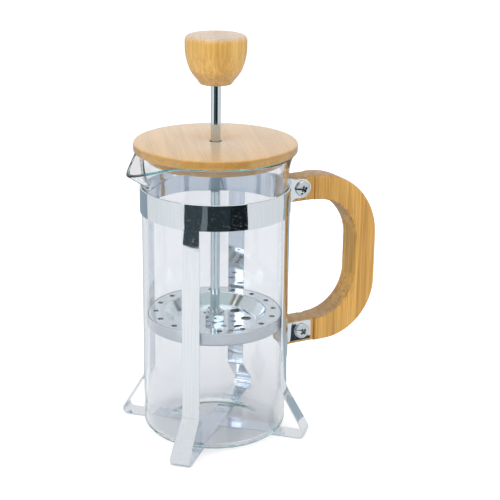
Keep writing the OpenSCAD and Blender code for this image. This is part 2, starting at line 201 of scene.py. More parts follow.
def ear_stations(end_x, from_azimuth):
    """Plan points and outward directions from a front ear's end, round its bend, on to the ring."""
    stations = []
    steps = 24
    for i in range(steps + 1):
        s = (i / steps) ** 0.8
        x = end_x + (BEND_X - end_x) * (1 - cos(s * pi / 2))
        stations.append((Vector((x, -EAR_Y, 0)), Vector((0, -1, 0))))
    centre = Vector((BEND_X, -BEND_Y, 0))
    last = pi - atan2(BEND_Y, BEND_X)
    for i in range(1, 15):
        t = pi / 2 + (last - pi / 2) * i / 14
        way = Vector((cos(t), sin(t), 0))
        stations.append((centre + way * BEND_R, -way))
    start = -atan2(BEND_Y, BEND_X)
    count = max(2, round(abs(from_azimuth - start) / radians(2.5)))
    for i in range(1, count + 1):
        t = start + (from_azimuth - start) * i / count
        way = Vector((cos(t), sin(t), 0))
        stations.append((way * RING, way))
    return stations


def flipped(v, side):
    return Vector((v.x, v.y * side, 0))


def make_top_band():
    """The band round the glass, with a round ear at each end."""
    screw_x, screw_z = UPPER_SCREW
    ear = 4.9
    half = ear_stations(screw_x + ear - 0.02, -pi)
    mirrored = [(flipped(p, -1), flipped(n, -1)) for p, n in reversed(half[:-1])]
    sections = []
    for place, out in half + mirrored:
        reach = place.x - screw_x
        tall = sqrt(max(0.0, ear * ear - reach * reach)) if reach > 0 else ear
        low, high = screw_z - max(tall, 0.35), screw_z + max(tall, 0.35)
        widened = 1.0
        if abs(place.y) < 11:
            widened = min(1.0, max(0.0, (BEND_X + 0.8 - place.x) / 3.2))
            widened = widened * widened * (3 - 2 * widened)
        low += (band_low.z - low) * widened
        high += (band_high.z - high) * widened
        sections.append(sheet_section(place, UP, out, low, high, steps=1))
    return lofted("top_band_sheet", sections)


def make_lower_bracket(name, side):
    """The strip from a leg strap to a lower ear, on the front (1) or the rear (-1)."""
    edge_azimuth = -(radians(45) - asin(STRAP_W / 2 / RING))
    screw_z = LOWER_SCREW[1]
    end_x, corner = front_ear_high.x - 0.02, 0.9
    sections = []
    for place, out in ear_stations(end_x, edge_azimuth):
        tall = (front_ear_high.z - front_ear_low.z) / 2
        near = end_x - place.x
        if near < corner:
            tall -= corner - sqrt(corner**2 - (corner - near) ** 2)
        place, out = flipped(place, side), flipped(out, side)
        sections.append(sheet_section(place, UP, out, screw_z - tall, screw_z + tall, steps=1))
    return lofted(name, sections)


def leg_line(foot_out, flare_z, bend):
    """One leg from the band to the floor: (distance out, height, direction, crown, half width)."""
    foot_r, wide, tip = 2.7, STRAP_W / 2, TOE_W / 2
    foot_c = foot_r + SHEET / 2
    foot_x = GLASS_R + foot_out - foot_c
    dx, dz = foot_x - RING, flare_z - foot_c
    lean = atan2(dx, dz) + asin(foot_r / hypot(dx, dz))
    full = 1 / RING
    bend_z = flare_z + bend * tan(lean / 2)
    line = [(RING, z, 0.0, full) for z in (band_low.z, 90.0, 60.0)]
    for share in [i / 5 for i in range(6)]:
        line.append((RING, bend_z + 10.0 * (1 - share), 0.0, full * (1 - 0.8 * share**2)))
    for i in range(1, 9):
        t = lean * i / 8
        x = RING + bend - bend * cos(t)
        line.append((x, bend_z - bend * sin(t), t, full * 0.2 * (1 - i / 8)))
    for i in range(15):
        t = lean - (lean + pi / 2) * i / 14
        line.append((foot_x + foot_r * cos(t), foot_c + foot_r * sin(t), t, 0.0))
    reach = GLASS_R + foot_out - RING
    shares = [min(1.0, max(0.0, (x - RING) / reach)) for x, z, t, crown in line]
    return [(*row, wide + (tip - wide) * share) for row, share in zip(line, shares)]


def make_leg_strap(name, azimuth, foot_out, flare_z, bend, joggled):
    """A strap with two legs: down one side, under the beaker, and up the other."""
    turn = Matrix.Rotation(azimuth, 3, "Z")
    across = turn @ Vector((0, 1, 0))
    near = leg_line(foot_out, flare_z, bend)
    far = [(-x, z, pi - t, crown, half) for x, z, t, crown, half in reversed(near)]
    middle = []
    if joggled:
        slope = [(13.0, 0.0), (12.5, 0.03), (11.5, 0.15), (9.5, 0.85), (8.5, 0.97), (8.0, 1.0)]
        for x, lift in slope + [(-x, lift) for x, lift in reversed(slope)]:
            middle.append((x, SHEET / 2 + SHEET * lift, -pi / 2, 0.0, STRAP_W / 2))
    sections = []
    for x, z, t, crown, half in near + middle + far:
        centre = turn @ Vector((x, 0, z))
        out = turn @ Vector((cos(t), 0, sin(t)))
        sections.append(sheet_section(centre, across, out, -half, half, crown))
    return lofted(name, sections)


def make_handle():
    """The grip: a rounded bar bent round two corners, with a step on each side for the ears."""
    thick, wide, tongue, soft, drop = 12.4, 13.2, 11.2, 1.3, 0.7
    inner, outer = handle_high.x - thick, handle_high.x
    upper_z, lower_z = UPPER_SCREW[1] - drop, LOWER_SCREW[1] - drop
    end_x = handle_low.x

    def section(inside, outside, half_wide, edge):
        """Rounded section between a point on the inner line and one on the outer line."""
        out = (outside - inside).normalized()
        centre, half_thick = (inside + outside) / 2, (outside - inside).length / 2
        ring = []
        for quarter, (sx, sy) in enumerate(((1, 1), (-1, 1), (-1, -1), (1, -1))):
            for k in range(6):
                t = radians(90.0 * quarter + 90.0 * k / 5)
                a = sx * (half_thick - edge) + edge * cos(t)
                b = sy * (half_wide - edge) + edge * sin(t)
                ring.append(centre + out * a + Vector((0, b, 0)))
        return ring

    def straight(z, up, step_x):
        """Sections from the free end: soft end, thinned tongue, step, full bar."""
        slim, deep, full = tongue / 2, thick / 2, wide / 2
        rows = [
            (end_x, slim - 0.5, deep - 0.5, soft - 0.4),
            (end_x + 0.15, slim - 0.15, deep - 0.15, soft - 0.15),
            (end_x + 0.5, slim, deep, soft),
            (step_x, slim, deep, soft),
            (step_x + 0.01, full - 0.25, deep, soft),
            (step_x + 0.25, full, deep, soft),
        ]
        low, high = [[Vector((x, 0, z + s * t)) for x, w, t, e in rows] for s in (-up, up)]
        return [section(a, b, w, e) for a, b, (x, w, t, e) in zip(low, high, rows)]

    def corner(z, up, inner_r, outer_r):
        """Sections round one corner, from the level bar to the grip."""
        found = []
        for k in range(31):
            t = radians(90.0 - 90.0 * k / 30)
            way = Vector((cos(t), 0, up * sin(t)))
            inside = Vector((inner - inner_r, 0, z + up * (-thick / 2 - inner_r)))
            outside = Vector((outer - outer_r, 0, z + up * (thick / 2 - outer_r)))
            ends = inside + way * inner_r, outside + way * outer_r
            found.append(section(*ends, wide / 2, soft))
        return found

    step = front_ear_high.x + 1.2
    sections = straight(upper_z, 1, step - 0.8) + corner(upper_z, 1, 24.5, 35.5)
    below = straight(lower_z, -1, step + 1.0) + corner(lower_z, -1, 22.5, 29.0)
    return lofted("handle_bar", sections + below[::-1], sharp=40.0)


# ---------------- node helpers

def plug(tree, made, values):
    """Sets a node's inputs or, where a value is a socket, links it."""
    for key, value in values.items():
        if isinstance(value, bpy.types.NodeSocket):
            tree.links.new(value, made.inputs[key])
        else:
            made.inputs[key].default_value = value
    return made


def node(tree, kind, values=None, **settings):
    """Adds a node, with its settings first and then its inputs."""
    made = tree.nodes.new(kind)
    for key, value in settings.items():
        setattr(made, key, value)
    return plug(tree, made, values or {})


def maths(tree, operation, *values, clamp=False):
    inputs = dict(enumerate(values))
    return node(tree, "ShaderNodeMath", inputs, operation=operation, use_clamp=clamp).outputs[0]


def times(tree, a, b):
    return maths(tree, "MULTIPLY", a, b)


def upward(tree, height):
    """The vector (0, 0, height)."""
    return node(tree, "ShaderNodeCombineXYZ", {"Z": height}).outputs[0]


def mix_colour(tree, share, a, b, blend="MIX"):
    colours = {0: share, 6: a, 7: b}
    return node(tree, "ShaderNodeMix", colours, data_type="RGBA", blend_type=blend).outputs[2]


def ramp(tree, value, low, high):
    """Rises smoothly from 0 to 1 as the value goes from low to high."""
    limits = {0: value, 1: low, 2: high, 3: 0.0, 4: 1.0}
    return node(tree, "ShaderNodeMapRange", limits, interpolation_type="SMOOTHSTEP").outputs[0]


def group(name, inputs, outputs, kind="Shader"):
    """An empty group with named sockets; returns its tree, inputs and output node."""
    tree = bpy.data.node_groups.new(name, kind + "NodeTree")
    for label, form, value in inputs:
        socket = tree.interface.new_socket(label, in_out="INPUT", socket_type="NodeSocket" + form)
        if value is not None:
            socket.default_value = value
    for label, form in outputs:
        tree.interface.new_socket(label, in_out="OUTPUT", socket_type="NodeSocket" + form)
    given = {socket.name: socket for socket in tree.nodes.new("NodeGroupInput").outputs}
    return tree, given, tree.nodes.new("NodeGroupOutput")


def stretched_noise(tree, vector, scale, detail=2.0, rough=0.5):
    """Noise on a vector scaled per axis, in cycles a metre."""
    wide = node(tree, "ShaderNodeVectorMath", {0: vector, 1: scale}, operation="MULTIPLY")
    values = {"Vector": wide.outputs[0], "Scale": 1.0, "Detail": detail, "Roughness": rough}
    return node(tree, "ShaderNodeTexNoise", values).outputs[0]


# ---------------- screws, nuts and grown shapes

def growing_group(name, start, sizes, output):
    """An empty Geometry Nodes group: a starting mesh, its finish and its sizes."""
    inputs = [(start, "Geometry", None), ("Finish", "Material", None)]
    for label, value in sizes.items():
        inputs.append((label, "Int" if label in ("Holes", "Points") else "Float", value))
    return group(name, inputs, [(output, "Geometry")], "Geometry")


def finish_tree(tree, given, result, geometry):
    """Ends a tree in Realize Instances and Set Material."""
    real = node(tree, "GeometryNodeRealizeInstances", {"Geometry": geometry})
    coat = {"Geometry": real.outputs[0], "Material": given["Finish"]}
    plug(tree, result, {0: node(tree, "GeometryNodeSetMaterial", coat).outputs[0]})
    return tree


def screw_tree():
    """Cuts a cross recess of two tapered blades into the head of a turned screw."""
    recess = {"Recess Length": 5.0 * MM, "Recess Width": 1.5 * MM, "Recess Depth": 2.4 * MM}
    sizes = {**recess, "Top": None, "Turn": None}
    tree, given, result = growing_group("pan_head_screw", "Blank", sizes, "Screw")
    size = {"X": given["Recess Length"], "Y": given["Recess Width"]}
    size["Z"] = times(tree, given["Recess Depth"], 2.0)
    size = node(tree, "ShaderNodeCombineXYZ", size).outputs[0]
    blade = node(tree, "GeometryNodeMeshCube", {"Size": size}).outputs["Mesh"]
    place = node(tree, "GeometryNodeInputPosition").outputs[0]
    height = node(tree, "ShaderNodeSeparateXYZ", {0: place}).outputs["Z"]
    narrower = {0: place, 1: (0.5, 0.9, 1.0)}
    narrower = node(tree, "ShaderNodeVectorMath", narrower, operation="MULTIPLY").outputs[0]
    taper = {"Geometry": blade, "Position": narrower}
    taper["Selection"] = maths(tree, "LESS_THAN", height, 0.0)
    blade = node(tree, "GeometryNodeSetPosition", taper).outputs[0]
    lift = upward(tree, given["Top"])
    cut = node(tree, "GeometryNodeMeshBoolean", {}, operation="DIFFERENCE")
    plug(tree, cut, {"Mesh 1": given["Blank"]})
    for quarter in (0.0, pi / 2):
        spin = upward(tree, maths(tree, "ADD", given["Turn"], quarter))
        put = {"Geometry": blade, "Translation": lift, "Rotation": spin}
        plug(tree, cut, {"Mesh 2": node(tree, "GeometryNodeTransform", put).outputs[0]})
    return finish_tree(tree, given, result, cut.outputs["Mesh"])


def hole_ring_tree():
    """Cuts a ring of round holes through a plate, sized by its inputs."""
    labels = ("Hole Radius", "Ring Radius", "Holes", "First Hole", "Height")
    tree, given, result = growing_group("ring_of_holes", "Plate", dict.fromkeys(labels), "Pierced")
    size = {"Vertices": given["Holes"], "Radius": given["Ring Radius"]}
    put = {"Geometry": node(tree, "GeometryNodeMeshCircle", size).outputs[0]}
    put["Translation"] = upward(tree, given["Height"])
    put["Rotation"] = upward(tree, given["First Hole"])
    put = node(tree, "GeometryNodeTransform", put).outputs[0]
    size = {"Vertices": 28, "Depth": 4.0 * MM, "Radius": given["Hole Radius"]}
    punch = node(tree, "GeometryNodeMeshCylinder", size).outputs["Mesh"]
    copies = node(tree, "GeometryNodeInstanceOnPoints", {"Points": put, "Instance": punch})
    real = node(tree, "GeometryNodeRealizeInstances", {"Geometry": copies.outputs[0]})
    meshes = {"Mesh 1": given["Plate"], "Mesh 2": real.outputs[0]}
    cut = node(tree, "GeometryNodeMeshBoolean", meshes, operation="DIFFERENCE")
    return finish_tree(tree, given, result, cut.outputs["Mesh"])


def coil_tree():
    """A close coil of wire bent into a ring, from its radii, turns and height."""
    labels = ("Ring Radius", "Coil Radius", "Wire Radius", "Height", "Turns", "Points")
    tree, given, result = growing_group("coil_in_a_ring", "Blank", dict.fromkeys(labels), "Coil")
    coil_r, count = given["Coil Radius"], given["Points"]
    number = node(tree, "GeometryNodeInputIndex").outputs[0]
    way = times(tree, maths(tree, "DIVIDE", number, count), TAU)
    twist = times(tree, way, given["Turns"])
    outward = times(tree, maths(tree, "COSINE", twist), coil_r)
    rise = times(tree, maths(tree, "SINE", twist), coil_r)
    reach = maths(tree, "ADD", given["Ring Radius"], outward)
    place = {"X": times(tree, reach, maths(tree, "COSINE", way))}
    place["Y"] = times(tree, reach, maths(tree, "SINE", way))
    place["Z"] = maths(tree, "ADD", given["Height"], rise)
    ring = node(tree, "GeometryNodeCurvePrimitiveCircle", {"Resolution": count}).outputs[0]
    move = {"Geometry": ring, "Position": node(tree, "ShaderNodeCombineXYZ", place).outputs[0]}
    wire = {"Resolution": 6, "Radius": given["Wire Radius"]}
    skin = {"Curve": node(tree, "GeometryNodeSetPosition", move).outputs[0]}
    skin["Profile Curve"] = node(tree, "GeometryNodeCurvePrimitiveCircle", wire).outputs[0]
    skin = node(tree, "GeometryNodeCurveToMesh", skin)
    return finish_tree(tree, given, result, skin.outputs[0])


def grown(piece, steps, sharp=32.0):
    """Runs Geometry Nodes steps (tree, {input: value}) on a piece and leaves a plain mesh."""
    for tree, values in steps:
        modifier = piece.modifiers.new(tree.name, "NODES")
        modifier.node_group = tree
        sockets = {s.name: s.identifier for s in tree.interface.items_tree if s.in_out == "INPUT"}
        for label, value in values.items():
            modifier[sockets[label]] = value
    seen = piece.evaluated_get(bpy.context.evaluated_depsgraph_get())
    mesh = bpy.data.meshes.new_from_object(seen)
    piece.modifiers.clear()
    work = bmesh.new()
    work.from_mesh(mesh)
    bmesh.ops.remove_doubles(work, verts=work.verts, dist=1e-7)
    work.to_mesh(mesh)
    work.free()
    smooth(mesh, sharp)
    piece.data = mesh
    return piece


def make_screw(name, screw, finish, tree, turn):
    """A pan-head screw along Y with its head on the front ear."""
    x, z = screw
    head_r, head_h, edge_h, shank_r, shank_end = 3.9, 2.4, 0.55, 1.95, 2.6
    length = 2 * EAR_FACE + shank_end
    crown = head_h - edge_h
    dome = []
    for t in [radians(90 * k / 14) for k in range(15)]:
        fall = crown * (1 - cos(t)) ** 0.62 * 0.86
        dome.append((head_r * sin(t) ** 0.92, crown - fall + edge_h))
    outline = [(0, dome[0][1])] + dome[1:] + [(head_r, 0.35), (head_r - 0.12, 0.06)]
    outline += [(shank_r, 0.0), (shank_r, 0.5 - length), (shank_r - 0.5, -length), (0, -length)]
    blank = turned(name, outline, 64)
    values = {"Top": head_h * MM, "Turn": turn, "Finish": finish}
    blank = grown(blank, [(tree, values)], 28.0)
    place = Matrix.Translation(Vector((x, -EAR_FACE, z)) * MM)
    blank.data.transform(place @ Matrix.Rotation(radians(90), 4, "X"))
    return blank


def nut_rows(flats, height, bore, lip):
    """Rows of points of a chamfered hexagon nut, bore to outside, standing on z = 0."""
    count = 72
    bearings = [TAU * i / count for i in range(count)]
    hexagon = [flats / 2 / cos(radians(degrees(t) % 60.0 - 30.0)) for t in bearings]
    round_r = flats / 2 * 0.965
    drop = [(r - round_r) * 0.55 for r in hexagon]

    def row(radii, heights):
        found = zip(bearings, radii, heights)
        return [Vector((r * cos(t), r * sin(t), z)) for t, r, z in found]

    def level(radius, z):
        return row([radius] * count, [z] * count)

    rows = [level(bore + 0.25, 0.0), level(round_r, 0.0), row(hexagon, drop)]
    rows += [row(hexagon, [height - d for d in drop]), level(round_r, height)]
    if lip:
        steps = ((0.92, 0.02), (0.9, lip * 0.8), (0.86, lip))
        rows += [level(round_r * share, height + up) for share, up in steps]
    top = height + lip
    return rows + [level(bore + 0.3, top), level(bore, top - 0.3), level(bore, 0.25)]


def make_nut(name, flats, height, bore, place, lip=0.0, capped=False):
    """A nut standing at a place; a capped one is closed at both ends."""
    points, rings, faces = joined(nut_rows(flats, height, bore, lip))
    if capped:
        points += [Vector((0, 0, 0)), Vector((0, 0, height - 0.4))]
        faces += bridge([len(points) - 2], rings[0]) + bridge(rings[-1], [len(points) - 1])
    else:
        faces += bridge(rings[-1], rings[0])
    return closed_mesh(name, [place @ p for p in points], faces, 28.0)


# ---------------- the beaker

TIP_DROP, KEEL_H = 7.2, 7.4
KEEL_A = atan2(KEEL_H, 11.1)
FLANK = radians(39.97)


def soft_max(a, b, blend):
    """The larger of two values, eased where they are within blend of each other."""
    h = max(blend - abs(a - b), 0.0) / blend
    return max(a, b) + h * h * blend * 0.25


def wall_radius(z):
    """Outside radius of the turned wall at a height, flared below the rim."""
    rise = z - (RIM_Z - FLARE_H)
    if rise <= 0:
        return GLASS_R
    curve = (FLARE_OUT**2 + FLARE_H**2) / (2 * FLARE_OUT)
    return GLASS_R + curve - sqrt(curve**2 - min(rise, FLARE_H) ** 2)


def beaker_radius(angle, z, inset, keel_inset):
    """Radius at an angle from the spout: the turned wall, or the spout where it is wider."""
    wall = wall_radius(z) - inset
    keel_z = RIM_Z - TIP_DROP - KEEL_H
    tip = GLASS_R + (z - keel_z) / tan(KEEL_A) - keel_inset
    if tip <= wall * 0.8:
        return wall
    away = sqrt(angle * angle + 0.085**2) - 0.085
    away = min(away, pi / 2 - FLANK)
    flank = tip * sin(FLANK) / sin(FLANK + away)
    return soft_max(wall, flank, 1.6)


def rim_height(angle, inset, keel_inset):
    """Height of the rim at an angle from the spout, dipping to the tip along a plane."""
    tip_z, slope = RIM_Z - TIP_DROP, TIP_DROP / (SPOUT_REACH - RIM_R**2 / SPOUT_REACH)
    z = tip_z
    for _ in range(80):
        x = -beaker_radius(angle, z, inset, keel_inset) * cos(angle)
        plane = tip_z + (x + SPOUT_REACH) * slope
        z += 0.5 * (-soft_max(-plane, -RIM_Z, 1.2) - z)
    return z


def make_beaker():
    angles = []
    a = -180.0
    while a < 180.0 - 1e-6:
        angles.append(radians(a))
        a += 0.75 if abs(a) < 54 and abs(a + 0.75) <= 54 else 3.0
    base = glass_low.z
    outer_wall, inner_wall = (0.0, 0.0), (GLASS_WALL, 3.5)
    columns = []
    for angle in angles:
        column = [(13.0, base + 0.9)]
        for k in range(9):
            column.append((16.0 + 10.7 * k / 8, base + 0.45 + 0.45 * cos(pi * k / 8)))
        column.append((28.7, base))
        for k in range(9):
            t = radians(-90 + 90 * k / 8)
            column.append((GLASS_R - 5 + 5 * cos(t), base + 5 + 5 * sin(t)))
        levels = 34
        for side, (inset, keel) in enumerate((outer_wall, inner_wall)):
            top = rim_height(angle, inset, keel) - 0.45
            low = RIM_Z - 17.0
            rows = [low + (top - low) * (k / levels) for k in range(levels + 1)]
            wall = [(beaker_radius(angle, z, inset, keel), z) for z in rows]
            if side == 0:
                column += [(GLASS_R, 40.0), (GLASS_R, 90.0)] + wall
            else:
                outside, inside = column[-1], wall[-1]
                wide = outside[0] - inside[0]
                for k in range(1, 8):
                    t = pi * k / 8
                    r = (outside[0] + inside[0]) / 2 + wide / 2 * cos(t)
                    z = outside[1] + (inside[1] - outside[1]) * k / 8 + 0.45 * sin(t)
                    column.append((r, z))
                column += wall[::-1] + [(GLASS_R - GLASS_WALL, 90.0), (GLASS_R - GLASS_WALL, 40.0)]
        floor = base + 2.2
        for k in range(9):
            t = radians(-90 * k / 8)
            column.append((GLASS_R - 5 + 3.3 * cos(t), floor + 3.3 + 3.3 * sin(t)))
        column += [(22.0, floor), (10.0, floor)]
        columns.append(column)
    points = [
        (-r * cos(angle), -r * sin(angle), z)
        for angle, column in zip(angles, columns)
        for r, z in column
    ]
    tall = len(columns[0])
    faces = []
    for i in range(len(columns)):
        j = (i + 1) % len(columns)
        for k in range(tall - 1):
            faces.append([i * tall + k, j * tall + k, j * tall + k + 1, i * tall + k + 1])
    points += [(0, 0, base + 0.9), (0, 0, floor)]
    for i in range(len(columns)):
        j = (i + 1) % len(columns)
        faces.append([i * tall, j * tall, len(points) - 2])
        faces.append([i * tall + tall - 1, j * tall + tall - 1, len(points) - 1])
    return closed_mesh("beaker_glass", points, faces, sharp=70.0)


# ---------------- lid, knob, plunger

def make_lid():
    """Round board with a plug below and a hole for the rod."""
    reach, plug, hole = lid_high.x, 33.3, 2.9
    seat = lid_high.z - 4.6
    outline = eased(
        [
            (hole, lid_low.z, 0.4),
            (plug, lid_low.z, 0.8),
            (plug, seat, 0.0),
            (reach, seat, 1.0),
            (reach, lid_high.z, 1.1),
            (hole, lid_high.z, 0.45),
        ]
    )
    return turned("lid_board", outline, 192)


def make_knob():
    """Turned knob: a cone swelling to a drum with a soft upper edge."""
    z, tall, wide = knob_low.z, knob_high.z - knob_low.z, knob_high.x
    foot = 15.4 / 2
    swell = ((0.24, 0.79), (0.36, 0.88), (0.48, 0.94), (0.60, 0.98), (0.72, 1.0), (0.86, 1.0))
    side = [(0.0, foot)] + [(rise, wide * share) for rise, share in swell]
    smooth_side = []
    for i in range(len(side) - 1):
        before, a = side[max(i - 1, 0)], side[i]
        b, after = side[i + 1], side[min(i + 2, len(side) - 1)]
        for k in range(6):
            t = k / 6
            m1, m2 = (b[1] - before[1]) / 2, (after[1] - a[1]) / 2
            r = (2 * t**3 - 3 * t**2 + 1) * a[1] + (t**3 - 2 * t**2 + t) * m1
            r += (-2 * t**3 + 3 * t**2) * b[1] + (t**3 - t**2) * m2
            smooth_side.append((min(r, wide), z + tall * (a[0] + (b[0] - a[0]) * t)))
    edge, well, well_h = 2.4, INSERT_R, 13.2
    outline = [(0.0, z + well_h), (well, z + well_h), (well, z + 0.4), (well + 0.4, z)]
    outline += [(foot - 0.6, z), (foot - 0.15, z + 0.15)] + smooth_side[1:]
    for t in [radians(90 * k / 10) for k in range(11)]:
        outline.append((wide - edge + edge * cos(t), z + tall - edge + edge * sin(t)))
    outline += [(wide * 0.5, z + tall), (0.0, z + tall)]
    return turned("knob_bamboo", outline, 128, 40.0)


def make_insert():
    """Threaded insert, its foot level with the knob's underside."""
    z, reach, bore, floor, top = knob_low.z, INSERT_R, ROD_R, 12.4, 13.0
    groove, pitch = 0.22, 0.7
    outline = [(0.0, z + floor), (bore, z + floor), (bore, z + 0.3), (bore + 0.3, z)]
    outline += [(reach - 0.2, z), (reach, z + 0.2)]
    for base in [z + 1.0 + pitch * k for k in range(16)]:
        outline += [(reach, base), (reach - groove, base + 0.2)]
        outline += [(reach - groove, base + 0.4), (reach, base + 0.6)]
    outline += [(reach, z + top - 0.2), (reach - 0.2, z + top), (0.0, z + top)]
    return turned("knob_insert_brass", outline, 64)


def make_rod():
    low, high, edge = rod_low.z, rod_high.z, 0.4
    outline = [(0, low), (ROD_R - edge, low), (ROD_R, low + edge)]
    outline += [(ROD_R, high - edge), (ROD_R - edge, high), (0, high)]
    return turned("plunger_rod_steel", outline, 96)


def make_filter_plate(finish, holes):
    """Pressed plate with a flat rim, a sloping dish and rings of holes."""
    top, rim = plate_high.z, plate_high.x
    thick = PLATE_T
    floor = plate_low.z + thick
    dish, floor_r = 25.7, 20.7
    outline = eased(
        [
            (ROD_R, floor - thick, 0.0),
            (floor_r - 0.15, floor - thick, 1.4),
            (dish + 0.15, top - thick, 0.8),
            (rim, top - thick, 0.25),
            (rim, top, 0.3),
            (dish - 0.1, top, 1.6),
            (floor_r - 0.4, floor, 0.9),
            (ROD_R, floor, 0.0),
        ]
    )
    plate = turned("filter_plate_steel", outline, 160)
    rings = [
        (1.4, (dish + rim) / 2, 16, 0.0, top - thick / 2),
        (1.35, floor_r * 0.48, 8, 0.0, floor - thick / 2),
        (2.5, floor_r * 0.754, 8, radians(22.5), floor - thick / 2),
    ]
    return pierced(plate, finish, holes, rings)


def pierced(plate, finish, tree, rings):
    """Cuts rings of holes: (hole radius, ring radius, count, first bearing, height)."""
    steps = []
    for radius, reach, count, first, height in rings:
        values = {"Hole Radius": radius * MM, "Ring Radius": reach * MM, "Holes": count}
        values.update({"First Hole": first, "Height": height * MM, "Finish": finish})
        steps.append((tree, values))
    return grown(plate, steps)


def make_bottom_plate(finish, holes):
    low, high, reach = bottom_low.z, bottom_high.z, bottom_high.x
    outline = [(ROD_R, low, 0.0), (reach, low, 0.3), (reach, high, 0.3), (ROD_R, high, 0.0)]
    plate = turned("bottom_plate_steel", eased(outline), 128)
    middle = (low + high) / 2
    rings = [(3.8, reach * 0.414, 6, 0.0, middle)]
    rings += [(4.5, reach * 0.724, 6, radians(30), middle)]
    return pierced(plate, finish, holes, rings)


def make_filter_mesh():
    """Cup of wire cloth: a floor under the plate and a side folded up round its edge."""
    low, high, reach, cloth = filter_low.z, filter_high.z, filter_high.x, CLOTH_T
    outline = eased(
        [
            (ROD_R, low, 0.0),
            (reach, low, 1.5),
            (reach, high, 0.16),
            (reach - cloth, high, 0.16),
            (reach - cloth, low + cloth, 1.15),
            (ROD_R, low + cloth, 0.0),
        ],
        8,
    )
    return turned("filter_wire_cloth", outline, 192)


def make_edge_spring(finish, tree):
    """A coil between the cloth and the plate's rim; the blank it starts from is dropped."""
    wire, slack, turns = 0.3, 0.05, 96
    low, high = filter_low.z + CLOTH_T, plate_high.z - PLATE_T
    coil = (high - low) / 2 - wire - slack
    ring = filter_high.x - CLOTH_T - 0.2 - coil - wire
    blank = turned("edge_spring_wire", [(1, 1), (2, 1), (2, 2)], 8)
    values = {"Ring Radius": ring * MM, "Coil Radius": (coil - 0.02) * MM}
    values.update({"Wire Radius": wire * MM, "Height": (low + high) / 2 * MM})
    values.update({"Turns": float(turns), "Points": 12 * turns, "Finish": finish})
    return grown(blank, [(tree, values)], 60.0)


def bamboo_grain():
    """Laminated bamboo: strips of different tone, streaks along Z and dark flecks."""
    tree, given, result = group(
        "bamboo_grain",
        [
            ("Vector", "Vector", None),
            ("Pale", "Color", None),
            ("Deep", "Color", None),
            ("Strip Width", "Float", 0.006),
            ("Fleck", "Float", 0.5),
        ],
        [("Color", "Color"), ("Height", "Float")],
    )
    vector = given["Vector"]
    apart = node(tree, "ShaderNodeSeparateXYZ", {0: vector})
    wander = stretched_noise(tree, vector, (8.0, 8.0, 5.0), 1.0)
    across = maths(tree, "MULTIPLY_ADD", wander, 0.0012, apart.outputs["X"])
    strip = maths(tree, "DIVIDE", across, given["Strip Width"])
    number = maths(tree, "FLOOR", strip)
    tone = node(tree, "ShaderNodeTexWhiteNoise", {"W": number}, noise_dimensions="1D").outputs[0]
    inside = maths(tree, "FRACT", strip)
    seam = maths(tree, "ABSOLUTE", maths(tree, "SUBTRACT", inside, 0.5))
    seam = ramp(tree, seam, 0.46, 0.5)
    broad = stretched_noise(tree, vector, (420.0, 420.0, 9.0), 3.0, 0.6)
    fine = stretched_noise(tree, vector, (1700.0, 1700.0, 26.0), 2.0, 0.6)
    bundle = stretched_noise(tree, vector, (2300.0, 2300.0, 60.0), 0.0)
    patch = stretched_noise(tree, vector, (60.0, 60.0, 22.0), 1.0)
    fleck = ramp(tree, bundle, 0.60, 0.72)
    patchy = times(tree, given["Fleck"], ramp(tree, patch, 0.35, 0.75))
    fleck = times(tree, fleck, patchy)
    share = maths(tree, "MULTIPLY_ADD", broad, 1.25, -0.31)
    share = maths(tree, "MULTIPLY_ADD", fine, 1.3, maths(tree, "SUBTRACT", share, 0.52))
    share = maths(tree, "MULTIPLY_ADD", tone, 0.30, maths(tree, "SUBTRACT", share, 0.18))
    share = maths(tree, "ADD", share, times(tree, patch, 0.18))
    share = maths(tree, "ADD", share, times(tree, seam, 0.16), clamp=True)
    colour = mix_colour(tree, share, given["Pale"], given["Deep"])
    darker = mix_colour(tree, 1.0, colour, (0.55, 0.42, 0.30, 1), "MULTIPLY")
    colour = mix_colour(tree, fleck, colour, darker)
    height = maths(tree, "SUBTRACT", times(tree, fine, 0.5), times(tree, fleck, 0.6))
    height = maths(tree, "SUBTRACT", height, times(tree, seam, 0.25))
    plug(tree, result, {"Color": colour, "Height": height})
    return tree


def handling_marks():
    """Wipe marks and hairline scratches on a polished surface, as roughness and height."""
    tree, given, result = group(
        "handling_marks",
        [
            ("Vector", "Vector", None),
            ("Base Roughness", "Float", 0.08),
            ("Smudge", "Float", 0.08),
            ("Scratch", "Float", 0.5),
        ],
        [("Roughness", "Float"), ("Height", "Float")],
    )
    vector, base = given["Vector"], given["Base Roughness"]
    smudge = ramp(tree, stretched_noise(tree, vector, (70.0, 70.0, 70.0), 4.0, 0.6), 0.42, 0.72)
    hairs = []
    ways = (((0.5, 0.2, 0.9), 900.0), ((1.2, -0.6, 0.3), 1100.0), ((-0.4, 1.1, -0.5), 800.0))
    for turn, scale in ways:
        way = {"Vector": vector, "Rotation": turn}
        way = node(tree, "ShaderNodeVectorRotate", way, rotation_type="EULER_XYZ").outputs[0]
        line = stretched_noise(tree, way, (scale * 2.4, scale * 2.4, scale * 0.05), 0.0)
        hairs.append(ramp(tree, line, 0.76, 0.80))
    hair = maths(tree, "MAXIMUM", maths(tree, "MAXIMUM", hairs[0], hairs[1]), hairs[2])
    rough = maths(tree, "MULTIPLY_ADD", smudge, given["Smudge"], base)
    scratched = times(tree, hair, times(tree, given["Scratch"], 0.12))
    rough = maths(tree, "ADD", rough, scratched)
    height = times(tree, hair, times(tree, given["Scratch"], -1.0))
    plug(tree, result, {"Roughness": rough, "Height": height})
    return tree


